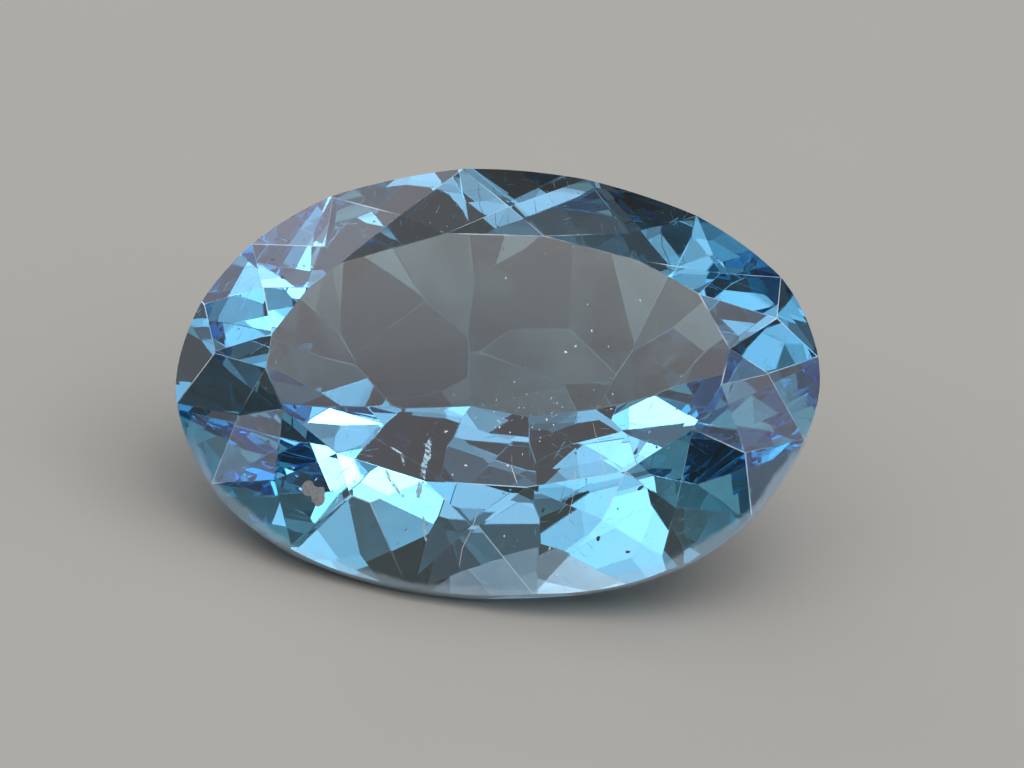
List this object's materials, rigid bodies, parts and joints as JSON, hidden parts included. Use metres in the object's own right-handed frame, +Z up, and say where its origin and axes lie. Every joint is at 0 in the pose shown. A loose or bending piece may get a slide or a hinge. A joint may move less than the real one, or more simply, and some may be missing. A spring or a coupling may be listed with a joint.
{
  "type": "faceted oval topaz gemstone",
  "caption": "Loose oval-cut pale blue topaz with a flat table, a faceted crown, a frosted girdle and a deep pavilion, lying tipped on one facet.",
  "frame": {"origin": "on the surface that the stone lies on, under the middle of its bounding box", "axes": "+Z up, X along the oval's long axis, the table turned up towards -Y"},
  "size_m": [0.01, 0.0056, 0.0047],
  "materials": {
    "topaz": "polished facets, frosted girdle, transparent pale blue"
  },
  "bodies": {
    "root": {"topaz": "topaz"}
  },
  "joints": []
}
